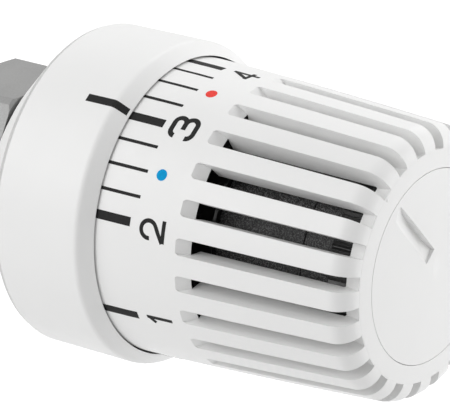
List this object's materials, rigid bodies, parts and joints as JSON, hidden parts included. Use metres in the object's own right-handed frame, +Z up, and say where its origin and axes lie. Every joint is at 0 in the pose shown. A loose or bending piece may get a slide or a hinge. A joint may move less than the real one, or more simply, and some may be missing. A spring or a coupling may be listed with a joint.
{
  "type": "thermostatic radiator valve head",
  "caption": "Thermostatic radiator valve head with a ribbed turning dial, a fixed scale collar, a liquid sensor and a hexagon coupling nut.",
  "frame": {"origin": "centre of the coupling nut's open mouth, on the head's axis, where the nut's thread starts", "axes": "+X along the head's axis from the nut towards the end cap; +Z up; +Y completes the right-handed frame. The scale index on the collar lies 37 degrees from +Z towards -Y."},
  "size_m": [0.0979, 0.058, 0.058],
  "materials": {
    "white_plastic": "satin moulded white plastic",
    "black_plastic": "glossy black moulded plastic",
    "grained_plastic": "matt dark grey plastic with a fine spark-eroded grain",
    "nickel_brass": "matt nickel plate on brass",
    "spring_steel": "bright drawn spring steel",
    "bush_brass": "turned brass",
    "pin_brass": "ground brass",
    "capsule_copper": "drawn copper alloy, slightly dulled",
    "bellows_bronze": "thin formed bronze"
  },
  "bodies": {
    "base": {"base_housing": "white_plastic", "scale_collar": "white_plastic", "guide_tube": "black_plastic", "stop_ring": "black_plastic", "nut_snap_ring": "spring_steel", "pin_bush": "bush_brass"},
    "nut": {"coupling_nut": "nickel_brass"},
    "carriage": {"sleeve_rear": "grained_plastic", "sleeve_front": "grained_plastic", "thrust_washer": "spring_steel", "spring_seat": "spring_steel", "overtravel_spring": "spring_steel"},
    "dial": {"handwheel": "white_plastic", "end_cap": "white_plastic", "spline_ring": "black_plastic"},
    "capsule": {"sensor_capsule": "capsule_copper", "capsule_lid": "bush_brass", "fill_plug": "capsule_copper", "bellows": "bellows_bronze", "return_spring": "spring_steel"},
    "pin": {"push_pin": "pin_brass", "thrust_cup": "spring_steel"}
  },
  "joints": [
    {"name": "nut_spin", "type": "hinge", "parent": "base", "child": "nut", "pos_m": [0, 0, 0], "axis": [1, 0, 0], "continuous": true},
    {"name": "dial_lift", "type": "slide", "parent": "base", "child": "carriage", "axis": [1, 0, 0], "range_m": [-0.00267, 0.00133]},
    {"name": "dial_turn", "type": "hinge", "parent": "carriage", "child": "dial", "pos_m": [0, 0, 0], "axis": [1, 0, 0], "range_deg": [-160, 80]},
    {"name": "sensor_overtravel", "type": "slide", "parent": "carriage", "child": "capsule", "axis": [1, 0, 0], "range_m": [0, 0.0025], "stiffness_N_per_m": 4000, "springref_m": -0.005, "deforming": ["overtravel_spring"]},
    {"name": "pin_stroke", "type": "slide", "parent": "capsule", "child": "pin", "axis": [1, 0, 0], "range_m": [-0.0015, 0.0015], "stiffness_N_per_m": 2000, "deforming": ["bellows", "return_spring"]}
  ],
  "couplings": [
    {"joint": "dial_lift", "follows": "dial_turn", "m_per_rad": 0.00095493}
  ]
}
